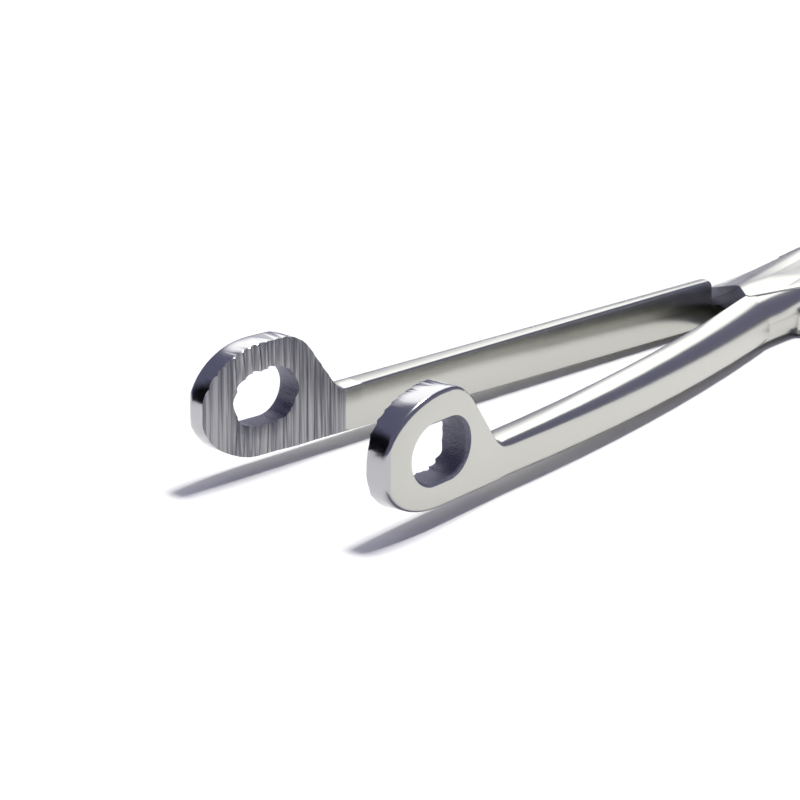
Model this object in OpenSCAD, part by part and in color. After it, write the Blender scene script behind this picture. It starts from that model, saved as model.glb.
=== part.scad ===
// Magill forceps, child size, lying on its side with the pivot axis upright.
// The origin is on the pivot axis at the underside of the joint. The jaws point
// to -X and the handles bend round to +X and -Y. All lengths are millimetres.

/* [Jaws] */
// Pivot axis to the centre of a jaw ring
jaw_reach = 84; // [70:1:110]
// Height of a jaw ring
ring_h = 12.1; // [11:0.1:15]
// Thickness of a jaw ring, over the tooth crests
jaw_t = 3.3; // [2.8:0.1:4.5]
// Chamfer round the outer face of a jaw ring
jaw_chamfer = 0.5; // [0.2:0.1:0.8]
// Length of the rounded tip, from the widest point of the ring
tip_l = 8.6; // [7.5:0.1:10]
// Height of the oval window
window_h = 6.5; // [5:0.1:7.2]
// Length of the oval window
window_l = 9.2; // [8:0.1:10]
// Angle between the jaw faces as the forceps lies
rest_opening = 13.2; // [4:0.2:20]
// Angle by which the tips of the jaws lead, so that they meet first
toe = 2.5; // [0:0.1:4]

/* [Serration] */
// Distance from one groove to the next
groove_pitch = 1.1; // [0.9:0.05:2]
// Depth of a groove
groove_depth = 0.28; // [0.2:0.02:0.4]

/* [Blades] */
// Height of a blade at the neck behind its ring
neck_h = 4.0; // [3.6:0.1:5]
// Height of a blade at the joint
blade_h = 5.3; // [4.6:0.1:6]
// Thickness of a blade at the joint
blade_t = 3.7; // [3:0.1:4.4]
// Rise of the blades from the joint to the tips, in degrees
blade_rise = 1.0; // [0:0.1:2]

/* [Joint] */
// Thickness of the whole joint
joint_h = 5.9; // [5.6:0.1:8]
// Radius of the lap plates round the screw
lap_r = 5.8; // [5:0.1:6.6]
// Pivot axis to the long side of a lap plate
lap_side = 7; // [6.8:0.1:8]
// Radius of the crown across the top of the joint
crown_across = 14; // [12:0.5:30]
// Pivot axis to the shoulder of a lap
shoulder_x = 13; // [12:0.5:16]
// Gap between the two lap faces
lap_gap = 0.06; // [0.04:0.01:0.1]

/* [Screw] */
// Radius of the screw's plain shank
screw_r = 1.6; // [1.2:0.1:2]
// Radius of the countersunk head
screw_head_r = 2.9; // [2.5:0.1:3.2]
// Radial running clearance of the shank in the lower half
screw_gap = 0.05; // [0.02:0.01:0.08]

/* [Handles] */
// Bend between the jaws and the handles
handle_bend = 42; // [25:1:55]
// Radius of that bend, on the centre line between the handles
bend_r = 46; // [38:1:60]
// Length of the straight shank behind the bend
shank_l = 44; // [30:1:60]
// Height of a shank
shank_h = 5.0; // [4.4:0.1:5.6]
// Width of a shank
shank_w = 4.4; // [3.8:0.1:5]
// Length of the opening in a finger ring
finger_l = 27; // [22:1:32]
// Width of the opening in a finger ring
finger_w = 21; // [18:1:26]
// Width of the round bar of a finger ring
bar_w = 4.6; // [4:0.1:5.4]

/* [Hidden] */
$fn = 64;
lap_z = joint_h / 2;
// Underside of the straight blades, carried on to the pivot axis
blade_z = (joint_h - blade_h) / 2;
// Inner face of each blade, measured outwards from the closing line, behind the
// ring, half way along and at the shoulder. The two blades bend the same way.
lower_run = [0.85, 2.2, 3.2];
upper_run = [0.85, 1.7, -0.4];
// Each handle starts on the other side of the joint
lower_tail = 2.2;
upper_tail = 2.2;
// The shoulder under the upper half stands further back
upper_shoulder_x = shoulder_x - 2.4;
// The ring: oval tip, crown arc, straight flank and heel fillet
tip_r = ring_h / 2;
tip_x = -1.0;
tip_end = tip_x - tip_l;
window_x = -1.1;
window_edge = 0.3;
crown_r = 5.2;
heel_r = 2.2;
flank_a = 38;
heel_x = (crown_r + heel_r - (neck_h + heel_r - ring_h + crown_r) * sin(flank_a)) / cos(flank_a);
arc_n = 5;
tip_n = 12;
// Radius of a blade's outer edges behind the ring and at the joint, top and bottom
top_r = [0.9, 2.9];
bottom_r = [0.7, 1.1];
inner_edge_r = 0.25;
groove_r = groove_pitch * groove_pitch / (8 * groove_depth) + groove_depth / 2;
groove_n = floor((heel_x - tip_end - 0.4 * heel_r) / groove_pitch);
blade_n = 10;
// The blades run on into the lap plates by this share of their length
blade_over = 1.12;
// The foot and the slant of a lap's shoulders, and the front corner of a plate
foot_r = 1;
shank_r = 1.3;
crown_fall = 2.5;
shoulder_slant = 20;
corner_x = -6.4;
plate_r = 2;
corner_n = 3;
bend_n = 12;
finger_n = 32;
bar_n = 10;
steel = [0.74, 0.74, 0.77];

function arc(c, r, a0, a1, n) =
    [for (i = [0:n]) c + r * [cos(a0 + (a1 - a0) * i / n), sin(a0 + (a1 - a0) * i / n)]];

// Closed solid through equal rings of points, with flat or fanned ends
module loft(rings) {
    m = len(rings[0]);
    n = len(rings);
    points = [for (ring = rings) each ring];
    sides = [for (i = [0:n - 2], j = [0:m - 1])
        [i * m + j, i * m + (j + 1) % m, (i + 1) * m + (j + 1) % m, (i + 1) * m + j]];
    ends = [[for (j = [m - 1:-1:0]) j], [for (j = [0:m - 1]) (n - 1) * m + j]];
    polyhedron(points, concat(sides, ends), convexity = 6);
}

// Rounded blade section, y outwards from the inner face, z up from the underside
function section(w, h, r_in, r_top, r_low) = concat(
    arc([w - r_low, r_low], r_low, 360, 270, corner_n),
    arc([r_in, r_in], r_in, 270, 180, corner_n - 1),
    arc([r_in, h - r_in], r_in, 180, 90, corner_n - 1),
    arc([w - r_top, h - r_top], r_top, 90, 0, corner_n + 2));

// Curve through three values at t = 0, 0.5 and 1
function through(v, t) =
    v[0] * (1 - t) * (1 - 2 * t) + v[1] * 4 * t * (1 - t) + v[2] * t * (2 * t - 1);

function mix(a, b, t) = a + (b - a) * t;

// Inner face of a ring, which leans in towards its tip
function ring_y(x) = (x - tip_end) * tan(toe);

// Stations of a jaw and its blade from the tip to the lap, x from the ring's centre:
// x, underside, top, inner face, thickness, radius of the outer edges at top and bottom
function tip_stations() = [for (i = [0:tip_n]) let (a = mix(6, 90, i / tip_n), rise = tip_r * sin(a),
    x = tip_x - tip_l * cos(a))
    [x, tip_r - rise, tip_r + rise, ring_y(x),
     jaw_t - max(0, jaw_chamfer - tip_l * (1 - cos(a))), jaw_chamfer, jaw_chamfer]];

function crown_stations() = [for (i = [0:arc_n]) let (a = mix(90, flank_a, i / arc_n), x = crown_r * cos(a))
    [x, 0, ring_h - crown_r + crown_r * sin(a), ring_y(x), jaw_t, jaw_chamfer, jaw_chamfer]];

function heel_stations(run) = [for (i = [0:arc_n])
    let (t = i / arc_n, a = mix(180 + flank_a, 270, t), x = heel_x + heel_r * cos(a))
    [x, 0, neck_h + heel_r + heel_r * sin(a), ring_y(x), jaw_t,
     mix(jaw_chamfer, top_r[0], t), mix(jaw_chamfer, bottom_r[0], t)]];

function blade_stations(run) = [for (i = [1:blade_n]) let (t = blade_over * i / blade_n, u = min(1, t))
    [mix(heel_x, jaw_reach - shoulder_x, t), 0, mix(neck_h, blade_h, u),
     through([ring_y(heel_x), run[1], run[2]], t), mix(jaw_t, blade_t, u),
     mix(top_r[0], top_r[1], u), mix(bottom_r[0], bottom_r[1], u)]];

// Jaw and blade in one piece, with the window and the grooves of the ring
module front_bar(run) {
    stations = concat(tip_stations(), crown_stations(), heel_stations(run), blade_stations(run));
    translate([-jaw_reach, 0, 0]) difference() {
        loft([for (s = stations) [for (p = section(s[4], s[2] - s[1], inner_edge_r, s[5], s[6]))
            [s[0], s[3] + p[0], s[1] + p[1]]]]);
        translate([tip_end, 0, 0]) rotate([0, 0, toe]) {
            translate([window_x - tip_end, 0, tip_r]) rotate([90, 0, 0]) {
                translate([0, 0, -jaw_t - 1]) linear_extrude(jaw_t + 2) window(0);
                translate([0, 0, -jaw_t - window_edge]) linear_extrude(3 * window_edge, slices = 1,
                    scale = [(window_l - window_edge) / (window_l + 4 * window_edge),
                             (window_h - window_edge) / (window_h + 4 * window_edge)])
                    window(2 * window_edge);
            }
            for (i = [0:groove_n])
                translate([(i + 0.35) * groove_pitch, groove_depth - groove_r, -1])
                    cylinder(h = ring_h + 2, r = groove_r);
        }
    }
}

module window(grow) {
    reach = (window_l - window_h) / 2;
    square([2 * reach, window_h + 2 * grow], center = true);
    for (s = [-1, 1]) translate([s * reach, 0]) circle(d = window_h + 2 * grow);
}

// Jaw and blade together, raised towards the tip; side is 1 or -1
module front(run, side) {
    mirror([0, side < 0 ? 1 : 0, 0])
        translate([0, 0, blade_z]) rotate([0, blade_rise, 0]) front_bar(run);
}

// Point where a line from p touches the circle of radius r about c
function touch(c, r, p, side) =
    let (d = p - c, a = atan2(d[1], d[0]) + side * acos(r / norm(d))) c + r * [cos(a), sin(a)];

// Outline of one lap plate, from its blade on one side to its tail on the other,
// with a rounded front corner that turns inside the other half's shoulder
module lap_outline(run, tail, side, front_x) {
    x = shoulder_x + 1;
    corner = [corner_x + plate_r, plate_r - lap_side];
    blade_out = [-front_x, run[2] + blade_t - top_r[1] + 0.1];
    blade_in = [-front_x, run[2] + 0.4];
    tail_out = [x, -tail - shank_w + shank_r];
    tail_in = [x, -tail - shank_r];
    mirror([0, side < 0 ? 1 : 0]) {
        circle(lap_r);
        translate(corner) circle(plate_r);
        polygon([blade_out, blade_in, touch(corner, 0.99 * plate_r, blade_in, 1), corner - [0, 0.99 * plate_r],
                 tail_out, tail_in, touch([0, 0], 0.98 * lap_r, tail_in, 1),
                 touch([0, 0], 0.98 * lap_r, blade_out, -1)]);
    }
}

// Room for the other half's plate, with a filleted foot at each shoulder
module lap_cut(side, front_x) {
    mirror([0, side < 0 ? 1 : 0, 0]) for (turn = [0, 180]) rotate([0, 0, turn])
        translate([turn == 0 ? -front_x : -shoulder_x, 0, 0]) rotate([90, 0, -shoulder_slant])
            translate([0, 0, -15]) linear_extrude(30) difference() {
                translate([0, lap_z]) square([shoulder_x + 5, joint_h]);
                difference() {
                    translate([0, lap_z]) square(foot_r);
                    translate([foot_r, lap_z + foot_r]) circle(foot_r);
                }
            }
}

// What is ground away above the crowned top of the joint
module above_crown() {
    difference() {
        translate([-shoulder_x - 3, -2 * lap_side, joint_h - 2.4])
            cube([2 * shoulder_x + 6, 4 * lap_side, joint_h]);
        translate([0, 0, joint_h - crown_across]) rotate([0, 90 + crown_fall, 6])
            cylinder(h = 6 * shoulder_x, r = crown_across, center = true, $fn = 128);
    }
}

// Centre line of a shank, at distance d to the left of the middle line
function shank_point(t, d) =
    let (a = handle_bend * min(1, t), run = max(0, t - 1) * shank_l)
    [shoulder_x + bend_r * sin(a) + run * cos(a) + d * sin(a),
     -bend_r * (1 - cos(a)) - run * sin(a) + d * cos(a), -a];

module shank(tail, side) {
    stops = concat([for (i = [-1:bend_n]) i / bend_n], [1.5, 2, 2.15]);
    loft([for (t = stops)
        let (c = t < 0 ? [shoulder_x - 5, side * (tail + shank_w / 2), 0]
                       : shank_point(t, side * mix(tail + shank_w / 2, bar_w / 2 + 0.6, min(1, t / 2))),
             h = shank_h - 0.4 * max(0, min(1, t - 1)), r = shank_r + 0.8 * max(0, min(1, t - 1)))
        [for (p = section(shank_w, h, r, r, r))
            [c[0] - (p[0] - shank_w / 2) * sin(c[2]), c[1] + (p[0] - shank_w / 2) * cos(c[2]),
             mix(blade_z, 0, min(1, max(0, t) / 1)) + p[1]]]]);
}

// Oval finger ring, its inner side in line with the shank
module finger_ring(side) {
    c = shank_point(2, side * (bar_w / 2 + 0.6 + (finger_w + bar_w) / 2));
    a = c[2];
    along = (finger_l + bar_w) / 2;
    across = (finger_w + bar_w) / 2;
    rings = [for (i = [0:finger_n]) let (u = 360 * i / finger_n,
        m = [along * 0.55 + along * cos(u), across * sin(u)],
        n = [cos(u) / along, sin(u) / across] / norm([cos(u) / along, sin(u) / across]))
        [for (k = [0:bar_n - 1]) let (v = 360 * k / bar_n, q = m + n * bar_w / 2 * cos(v))
            [c[0] + q[0] * cos(a) - q[1] * sin(a), c[1] + q[0] * sin(a) + q[1] * cos(a),
             (shank_h - 0.4) / 2 * (1 + sin(v))]]];
    band(rings);
}

// Closed band through equal rings of points, the last ring lying on the first
module band(rings) {
    m = len(rings[0]);
    n = len(rings) - 1;
    points = [for (i = [0:n - 1]) each rings[i]];
    polyhedron(points, [for (i = [0:n - 1], j = [0:m - 1])
        [i * m + j, i * m + (j + 1) % m, ((i + 1) % n) * m + (j + 1) % m, ((i + 1) % n) * m + j]],
        convexity = 8);
}

// Half that lies underneath at the joint: the far jaw and the near handle
module lower_half() {
    color(steel) rotate([0, 0, -rest_opening / 2]) difference() {
        union() {
            difference() {
                union() {
                    front(lower_run, 1);
                    shank(lower_tail, -1);
                }
                lap_cut(1, shoulder_x);
            }
            linear_extrude(lap_z - lap_gap / 2) lap_outline(lower_run, lower_tail, 1, upper_shoulder_x - 2.2);
            finger_ring(-1);
        }
        translate([0, 0, -1]) cylinder(h = lap_z + 2, r = screw_r + screw_gap);
        screw_head(screw_gap);
    }
}

// Half that lies on top at the joint: the near jaw and the far handle
module upper_half() {
    color(steel) rotate([0, 0, rest_opening / 2]) difference() {
        union() {
            difference() {
                union() {
                    front(upper_run, -1);
                    shank(upper_tail, 1);
                }
                translate([0, 0, joint_h]) mirror([0, 0, 1]) lap_cut(-1, upper_shoulder_x);
            }
            translate([0, 0, lap_z + lap_gap / 2]) linear_extrude(lap_z - lap_gap / 2)
                lap_outline(upper_run, upper_tail, -1, shoulder_x + 1);
            finger_ring(1);
        }
        above_crown();
        translate([0, 0, lap_z - 1]) cylinder(h = lap_z - 0.2, r = screw_r);
    }
}

module screw_head(gap) {
    translate([0, 0, -0.01]) cylinder(h = 0.4 + 0.01, r = screw_head_r + gap);
    translate([0, 0, 0.4])
        cylinder(h = screw_head_r - screw_r, r1 = screw_head_r + gap, r2 = screw_r + gap);
}

// Slotted screw, let in from below and held by its thread in the upper half
module pivot_screw() {
    color([0.66, 0.66, 0.7]) difference() {
        union() {
            intersection() {
                screw_head(0);
                cylinder(h = joint_h, r = 2 * screw_head_r);
            }
            cylinder(h = 2 * lap_z - 1.2, r = screw_r);
        }
        translate([-screw_head_r - 1, -0.4, -1]) cube([2 * screw_head_r + 2, 0.8, 1.7]);
    }
}

lower_half();
upper_half();
pivot_screw();
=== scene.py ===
import math

import bmesh
import bpy
from mathutils import Matrix, Vector, noise


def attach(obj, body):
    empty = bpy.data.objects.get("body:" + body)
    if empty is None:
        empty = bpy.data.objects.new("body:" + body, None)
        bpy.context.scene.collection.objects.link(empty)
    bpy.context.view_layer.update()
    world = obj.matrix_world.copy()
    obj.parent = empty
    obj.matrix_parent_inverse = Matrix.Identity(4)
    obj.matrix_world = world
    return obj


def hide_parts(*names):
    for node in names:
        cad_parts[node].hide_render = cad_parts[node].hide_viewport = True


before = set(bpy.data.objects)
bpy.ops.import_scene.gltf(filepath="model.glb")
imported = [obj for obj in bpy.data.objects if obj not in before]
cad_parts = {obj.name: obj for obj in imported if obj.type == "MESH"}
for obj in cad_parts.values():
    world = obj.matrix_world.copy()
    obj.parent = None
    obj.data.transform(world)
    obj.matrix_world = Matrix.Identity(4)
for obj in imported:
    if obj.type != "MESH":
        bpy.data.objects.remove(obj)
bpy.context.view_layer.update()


# The lower half is one bar of martensitic stainless steel, drop forged and ground.
# It carries the far jaw, the lower plate of the lap joint and the near handle.
# Its faces were satin finished on a belt, and its edges were eased by hand.

MM = 0.001
EASED_EDGE = 0.10 * MM
REST_OPENING = 13.2
JAW_REACH = 84.0
BLADE_END = 71.0
SHOULDER_SLANT = math.tan(math.radians(20))
CORNER_R = 0.8
EASED_ANGLE = math.radians(38)
FLAT_ANGLE = math.radians(0.4)


def colour(hex_code):
    channels = [int(hex_code[i:i + 2], 16) / 255 for i in (1, 3, 5)]
    linear = [c / 12.92 if c <= 0.04045 else ((c + 0.055) / 1.055) ** 2.4 for c in channels]
    return (*linear, 1.0)


def add_node(tree, kind, settings=None, links=None):
    """Adds a node, sets its values and inputs, and links its inputs to other nodes' outputs."""
    node = tree.nodes.new(kind)
    for key, value in (settings or {}).items():
        if hasattr(node, str(key)):
            setattr(node, key, value)
        else:
            node.inputs[key].default_value = value
    for key, output in (links or {}).items():
        tree.links.new(output, node.inputs[key])
    return node


def jaw_place(side):
    """From the drawing of a jaw in millimetres, x from its ring's centre, to the scene; side is 1 or -1."""
    turn = Matrix.Rotation(math.radians(-side * REST_OPENING / 2), 4, "Z")
    flip = Matrix.Diagonal((1, side, 1, 1))
    rise = Matrix.Translation((0, 0, 0.3)) @ Matrix.Rotation(math.radians(1.0), 4, "Y")
    return Matrix.Scale(MM, 4) @ turn @ flip @ rise @ Matrix.Translation((-JAW_REACH, 0, 0))


def step(low, high, value):
    t = min(1.0, max(0.0, (value - low) / (high - low)))
    return t * t * (3 - 2 * t)


def top_line(x, crown, ring, neck, end):
    """Height of a jaw and its blade at x: oval tip, crown, straight flank, fillet and blade."""
    slope, crown_r, heel_r = math.radians(38), 5.2, 2.2
    heel = crown + (crown_r + heel_r - (neck + heel_r - ring + crown_r) * math.sin(slope)) / math.cos(slope)
    fillet = heel - heel_r * math.cos(slope)
    shoulder = crown + crown_r * math.cos(slope)
    if x < -1:
        return 6.05 + (ring - 6.05) * math.sqrt(max(0.0, 1 - ((x + 1) / 8.6) ** 2))
    if x < crown:
        return ring
    if x < shoulder:
        return ring - crown_r + math.sqrt(crown_r ** 2 - (x - crown) ** 2)
    if x < fillet:
        return ring - crown_r * (1 - math.sin(slope)) - (x - shoulder) / math.tan(slope)
    if x < heel:
        return neck + heel_r - math.sqrt(heel_r ** 2 - (x - heel) ** 2)
    return neck + (end - neck) * min(1.0, (x - heel) / (BLADE_END - heel))


def hand_ground(p, crown, ring, neck, end, fullness, window, shoulder, waver, seed):
    """Moves a point of a jaw, in the jaw's own millimetres, from the drawn form to the ground one."""
    x, y, z = p
    drawn = top_line(x, 0.0, 12.1, 4.0, 5.3)
    wanted = top_line(x, crown, ring, neck, end)
    run = max(0.0, abs(x + 1.1) - 1.35)
    from_window = math.hypot(run, z - 6.05)
    inside = 1 - step(4.0, 5.2, from_window)
    upper_side = step(0.5, 0.92, z / drawn)
    high = z + (wanted - drawn) * upper_side * (1 - inside) * (1 - step(74, 78, x))
    past = max(0.0, x - SHOULDER_SLANT * y - BLADE_END + CORNER_R)
    high -= bool(shoulder) * upper_side * (CORNER_R - math.sqrt(max(0.0, CORNER_R ** 2 - past ** 2)))
    tip = min(1.0, max(0.0, (-1 - x) / 8.6))
    low_drawn = 6.05 * (1 - math.sqrt(1 - tip ** 2))
    low_wanted = 6.05 * (1 - (1 - tip ** fullness) ** (1 / fullness))
    low = (low_wanted - low_drawn) * (1 - step(0.0, 3.5, z - low_drawn)) * (1 - inside)
    outer = step(0.8, 2.4, y - (x + 9.6) * 0.0437)
    rough = 0.22 * inside * (1 - outer) * noise.noise(Vector((x * 0.9, seed, z * 0.9)))
    rim = (1 - outer) * (1 - inside) * (1 - step(3, 6, x))
    uneven = waver * rim * noise.noise(Vector((1.9 * math.atan2(z - 6.05, x + 1.1), seed, 0.5)))
    shift_x = inside * (window[0] + (x + 1.1) * (8.8 / 9.2 - 1)) + uneven * (x + 1.1) / 8
    shift_z = inside * (window[1] + (z - 6.05) * (5.9 / 6.5 - 1)) + uneven * (z - 6.05) / 6
    back_x = shoulder * step(60, 69, x) * step(2.6, 3.2, z)
    along = max(-9.53, x + shift_x + rough - back_x)
    return Vector((along, y - 0.7 * outer * tip ** 2, min(12.06, high + low + shift_z - rough)))


def loft(shape, rings):
    """A closed solid through equal rings of points, added to a mesh."""
    made = [[shape.verts.new(point) for point in ring] for ring in rings]
    for one, two in zip(made, made[1:]):
        for i, vert in enumerate(one):
            j = (i + 1) % len(one)
            shape.faces.new((vert, one[j], two[j], two[i]))
    shape.faces.new(made[0])
    shape.faces.new(list(reversed(made[-1])))


def joint_flank(shape, place):
    """The near flank of the joint: it carries the blade's outer face on past the pivot."""
    def outer(x):
        return 3.4 + 1.9 * step(-16, 4, x) - 1.5 * step(4, 10, x)

    def crown(x, y):
        off = 0.9945 * y + 0.1045 * x
        return min(5.9, 5.9 - 14 + math.sqrt(196 - off ** 2) - 0.0436 * x) + 0.1 * step(0.5, 2.5, y) - 0.06

    upper, lower = [], []
    for i in range(27):
        x = -17.0 + i
        edge = outer(x)
        drop = min(2.9 - 2.0 * step(-14, -1, x), crown(x, edge) - 3.1)
        ring = [(x, 0.5, 3.0), (x, edge, 3.0)]
        for k in range(9):
            turn = math.radians(90 * k / 8)
            y = edge - drop + drop * math.cos(turn)
            ring.append((x, y, crown(x, y) - drop + drop * math.sin(turn)))
        for y in (2.4, 1.9, 1.4, 0.9, 0.5):
            inner = min(y, edge - drop - 0.02 * y)
            ring.append((x, inner, crown(x, inner)))
        upper.append(ring)
    for i in range(20):
        x = -17.0 + 0.51 * i
        edge = outer(x)
        inner = max(0.6, math.sqrt(max(0.0, 8.8 ** 2 - x ** 2)))
        ring = [(x, inner, 3.05), (x, inner, 0.32)]
        for k in range(6):
            turn = math.radians(90 * k / 5 - 90)
            ring.append((x, edge - 1.1 + 1.1 * math.cos(turn), 1.42 + 1.1 * math.sin(turn)))
        ring.append((x, edge, 3.05))
        lower.append([(a, max(b, inner), c) for a, b, c in ring])
    for rings in (upper, lower):
        loft(shape, [[place @ Vector((a + JAW_REACH, b, c - 0.3)) for a, b, c in ring] for ring in rings])


def crowned(co):
    """The upper plate's front corner, filled out, and its crown, flatter towards the far side."""
    x, y, z = co / MM
    above = step(2.8, 2.95, z)
    corner = above * step(2.5, 5.0, y) * (1 - step(-5.5, -3.0, x)) * step(-14.0, -11.0, x)
    flatter = 0.6 * step(3.1, 3.6, z) * (min(7.0, max(0.0, y)) / 7) ** 2 * (1 - step(12, 20, x)) * step(-18.0, -12.0, x)
    return Vector((x - 3.2 * corner, y + 0.5 * corner, z + flatter)) * MM


def eased_copy(node_name, piece_name, side=0, ground=()):
    """A merged copy of a forged CAD node, with its sharp edges eased as a polishing wheel leaves them."""
    mesh = bpy.data.meshes.new(piece_name)
    shape = bmesh.new()
    shape.from_mesh(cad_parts[node_name].data)
    bmesh.ops.remove_doubles(shape, verts=shape.verts, dist=0.002 * MM)
    bmesh.ops.dissolve_limit(shape, angle_limit=FLAT_ANGLE, verts=shape.verts, edges=shape.edges)
    if side:
        place = jaw_place(side)
        back = place.inverted()
        along = (place.to_3x3() @ Vector((1, 0, 0))).normalized()
        for i in range(26):
            bmesh.ops.bisect_plane(shape, geom=shape.verts[:] + shape.edges[:] + shape.faces[:],
                                   dist=0.001 * MM, plane_co=place @ Vector((0.25 + 0.5 * i, 0, 0)),
                                   plane_no=along)
        slanted = (place.to_3x3() @ Vector((1, -SHOULDER_SLANT, 0))).normalized()
        for i in range(4 if side > 0 else 0):
            bmesh.ops.bisect_plane(shape, geom=shape.verts[:] + shape.edges[:] + shape.faces[:],
                                   dist=0.001 * MM, plane_co=place @ Vector((70.25 + 0.2 * i, 0, 0)),
                                   plane_no=slanted)
        for vert in shape.verts:
            if vert.co.x < 0:
                vert.co = place @ hand_ground(back @ vert.co, *ground)
            if side < 0:
                vert.co = crowned(vert.co)
    if side < 0:
        flat = jaw_place(side) @ Matrix.Translation((JAW_REACH, 0, 0)) @ Matrix.Rotation(
            math.radians(-1.0), 4, "Y") @ Matrix.Translation((-JAW_REACH, 0, 0))
        joint_flank(shape, flat)
    bmesh.ops.recalc_face_normals(shape, faces=shape.faces)
    shape.normal_update()
    sharp = [e for e in shape.edges if len(e.link_faces) == 2 and e.calc_face_angle(0) > EASED_ANGLE]
    bmesh.ops.bevel(shape, geom=sharp, offset=EASED_EDGE, offset_type="OFFSET", segments=2, profile=0.5,
                    affect="EDGES", material=-1, clamp_overlap=True)
    shape.normal_update()
    for face in shape.faces:
        face.smooth = True
        face.material_index = finish_of(back, side, face) if side else 0
    for edge in shape.edges:
        edge.smooth = len(edge.link_faces) == 2 and edge.calc_face_angle(0) < math.radians(34)
    shape.to_mesh(mesh)
    shape.free()
    piece = bpy.data.objects.new(piece_name, mesh)
    bpy.context.scene.collection.objects.link(piece)
    return piece


def finish_of(back, side, face):
    """0 satin, 1 polished rim, 2 cut teeth, 3 rough-cut wall of a window or of the joint's step, with painted shade."""
    x, y, z = back @ face.calc_center_median()
    across = (back.to_3x3() @ face.normal).normalized().y
    # The upper plate's step wall at the joint also takes the rough-cut finish, with its painted shade.
    if side < 0 and 70 < x < 82 and z > 2.6 and (back.to_3x3() @ face.normal).normalized().x < -0.5:
        return 3
    if x > 12:
        return 0
    from_window = math.hypot(max(0.0, abs(x + 1.1) - 1.35), z - 6.05)
    if across < -0.5 and y - (x + 9.6) * 0.0437 < 0.6 and x < 10.0 - 0.35 * (z - 3):
        return 2
    if abs(across) < 0.93 and from_window < 4.4:
        return 3
    if abs(across) < 0.75 and x < 8:
        return 1
    return 0


def steel_finish(name, base, low, high, grain_mm, depth_mm, stretch=(1, 1, 1)):
    """Martensitic stainless with a belt or wheel finish: a fine grain that softens what it mirrors."""
    material = bpy.data.materials.new(name)
    material.use_nodes = True
    tree = material.node_tree
    tree.nodes.clear()
    place = add_node(tree, "ShaderNodeTexCoord")
    drawn = add_node(tree, "ShaderNodeMapping", {"Scale": stretch}, {"Vector": place.outputs["Object"]})
    grain = add_node(tree, "ShaderNodeTexNoise", {"Scale": 1 / (grain_mm * MM), "Detail": 3.0, "Roughness": 0.6},
                     {"Vector": drawn.outputs["Vector"]})
    clouds = add_node(tree, "ShaderNodeTexNoise", {"Scale": 1 / (6 * MM), "Detail": 2.0},
                      {"Vector": place.outputs["Object"]})
    rough = add_node(tree, "ShaderNodeMapRange", {"To Min": low, "To Max": high},
                     {"Value": clouds.outputs["Fac"]})
    bump = add_node(tree, "ShaderNodeBump", {"Strength": 1.0, "Distance": depth_mm * MM},
                    {"Height": grain.outputs["Fac"]})
    steel = add_node(tree, "ShaderNodeBsdfPrincipled",
                     {"Base Color": colour(base), "Metallic": 1.0},
                     {"Roughness": rough.outputs["Result"], "Normal": bump.outputs["Normal"]})
    add_node(tree, "ShaderNodeOutputMaterial", None, {"Surface": steel.outputs["BSDF"]})
    return material, tree, grain, steel


def cut_teeth():
    """Milled teeth, left unpolished: dark grey, with fine light and dark lines down the face."""
    material, tree, grain, steel = steel_finish("cut_teeth_stainless", "#8a8a8c", 0.34, 0.46, 0.22, 0.02,
                                                (1.0, 0.3, 0.012))
    tones = add_node(tree, "ShaderNodeMapRange", {"From Min": 0.38, "From Max": 0.56},
                     {"Value": grain.outputs["Fac"]})
    lines = add_node(tree, "ShaderNodeMix", {"data_type": "RGBA"}, {0: tones.outputs["Result"]})
    lines.inputs[6].default_value = colour("#707077")
    lines.inputs[7].default_value = colour("#a6a6a8")
    tree.links.new(lines.outputs[2], steel.inputs["Base Color"])
    return material


satin = steel_finish("satin_stainless", "#bdbdb6", 0.20, 0.28, 0.35, 0.0012)[0]
rim = steel_finish("wheel_polished_stainless", "#b0b0b2", 0.13, 0.22, 0.6, 0.004)[0]
teeth = cut_teeth()
# The rough-cut walls: their bumps are the cutter's, but their darker violet-grey base is painted shade in these
# recesses.
rough_wall_painted_shade = steel_finish("rough_cut_stainless_painted_shade", "#80808e", 0.30, 0.45, 0.20, 0.22)[0]
finishes = (satin, rim, teeth, rough_wall_painted_shade)
lower_half = eased_copy("lower_half", "lower_half_dressed", 1,
                        (1.2, 12.1, 4.9, 5.8, 2.0, (0.2, 0.2), 0.6, 0.1, 3.1))
for finish in finishes:
    lower_half.data.materials.append(finish)
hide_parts("lower_half")
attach(lower_half, "lower")


# The upper half is a second forging, the lower half's pair.
# It carries the near jaw, the upper plate of the lap joint and the far handle.
# It was ground and satin finished in the same way.

upper_half = eased_copy("upper_half", "upper_half_dressed", -1,
                        (-0.6, 12.0, 4.0, 5.4, 2.6, (-0.3, -0.3), 0.0, 0.5, 7.7))
for finish in finishes:
    upper_half.data.materials.append(finish)
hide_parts("upper_half")
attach(upper_half, "upper")


# The pivot screw is turned from stainless bar and slotted.
# It is let in from below, and its thread holds in the upper half.

pivot_screw = eased_copy("pivot_screw", "pivot_screw_dressed")
pivot_screw.data.materials.append(satin)
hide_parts("pivot_screw")
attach(pivot_screw, "upper")


# The table is a plain white sheet that runs on out of sight behind the forceps.
# It is matt, so that it takes a soft grey shadow.

TABLE_SIZE = 6.0
table_mesh = bpy.data.meshes.new("table")
table_shape = bmesh.new()
bmesh.ops.create_grid(table_shape, x_segments=1, y_segments=1, size=TABLE_SIZE / 2)
table_shape.to_mesh(table_mesh)
table_shape.free()
table = bpy.data.objects.new("table", table_mesh)
bpy.context.scene.collection.objects.link(table)
table_paint = bpy.data.materials.new("matt_white_sheet")
table_paint.use_nodes = True
paint = table_paint.node_tree.nodes["Principled BSDF"]
paint.inputs["Base Color"].default_value = colour("#f5f4f0")
paint.inputs["Roughness"].default_value = 0.9
table.data.materials.append(table_paint)


# The light is a wide softbox overhead, a little towards the handles, in a white room.
# The right side of the room is dim and violet, and gives the steel its dark streaks.

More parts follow.
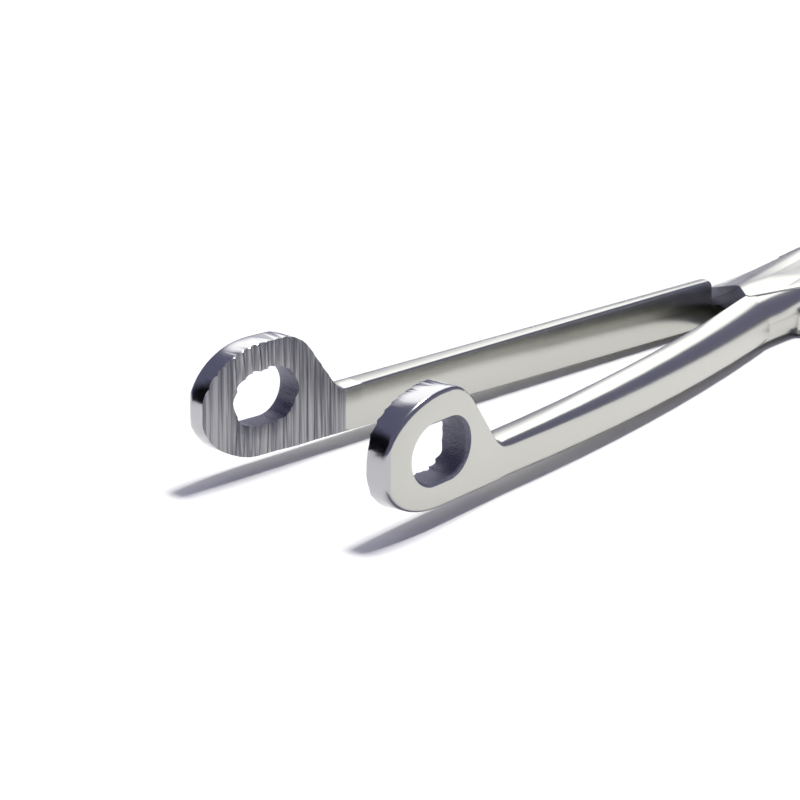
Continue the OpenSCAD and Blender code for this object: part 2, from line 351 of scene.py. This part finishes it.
CAMERA_TURN = math.radians(49.25)
away = Vector((math.sin(CAMERA_TURN), math.cos(CAMERA_TURN), 0.0))
right = Vector((math.cos(CAMERA_TURN), -math.sin(CAMERA_TURN), 0.0))
world = bpy.data.worlds.new("white_room")
bpy.context.scene.world = world
world.use_nodes = True
sky = world.node_tree
sky.nodes.clear()
around = add_node(sky, "ShaderNodeTexCoord")


def lobe(direction, inner, outer):
    """1 within the inner angle of a direction, falling to 0 at the outer angle."""
    facing = add_node(sky, "ShaderNodeVectorMath", {"operation": "DOT_PRODUCT"},
                      {0: around.outputs["Generated"]})
    facing.inputs[1].default_value = direction.normalized()
    fade = add_node(sky, "ShaderNodeMapRange",
                    {"interpolation_type": "SMOOTHSTEP", "From Min": math.cos(math.radians(outer)),
                     "From Max": math.cos(math.radians(inner))}, {"Value": facing.outputs["Value"]})
    return fade.outputs["Result"]


def blend_in(under, direction, inner, outer, over):
    """The colour under, with a patch of the colour over in one direction."""
    mixer = add_node(sky, "ShaderNodeMix", {"data_type": "RGBA"}, {0: lobe(direction, inner, outer)})
    sky.links.new(under, mixer.inputs[6])
    mixer.inputs[7].default_value = over
    return mixer.outputs[2]


walls = add_node(sky, "ShaderNodeRGB")
walls.outputs[0].default_value = colour("#7a7a96")
backdrop = away * 0.83 + right * 0.12 + Vector((0, 0, 0.62))
room_colour = blend_in(walls.outputs[0], Vector((-0.80, 0.55, 0.24)), 24, 38, colour("#08080c"))
room_colour = blend_in(room_colour, backdrop, 18, 26, (2.1, 2.1, 2.1, 1.0))
room = add_node(sky, "ShaderNodeBackground", {"Strength": 1.0}, {"Color": room_colour})
add_node(sky, "ShaderNodeOutputWorld", None, {"Surface": room.outputs["Background"]})

softbox_light = bpy.data.lights.new("softbox", "AREA")
softbox_light.shape = "SQUARE"
softbox_light.size = 0.22
softbox_light.energy = 17.0
softbox = bpy.data.objects.new("softbox", softbox_light)
softbox.location = (0.36, 0.0, 1.2)
aim = Vector((-0.03, 0.0, 0.0)) - softbox.location
softbox.rotation_euler = aim.to_track_quat("-Z", "Y").to_euler()
bpy.context.scene.collection.objects.link(softbox)
bpy.context.scene.view_settings.view_transform = "Standard"


# The camera looks along the jaws from low in front of the near ring.

camera_data = bpy.data.cameras.new("camera")
camera_data.sensor_width = 36.0
camera_data.lens = 117.0
camera_data.clip_start = 0.01
camera = bpy.data.objects.new("camera", camera_data)
camera.location = (-266.8 * MM, -165.1 * MM, 89.8 * MM)
camera.rotation_euler = (math.radians(90 - 18), 0.0, -CAMERA_TURN)
bpy.context.scene.collection.objects.link(camera)
bpy.context.scene.camera = camera
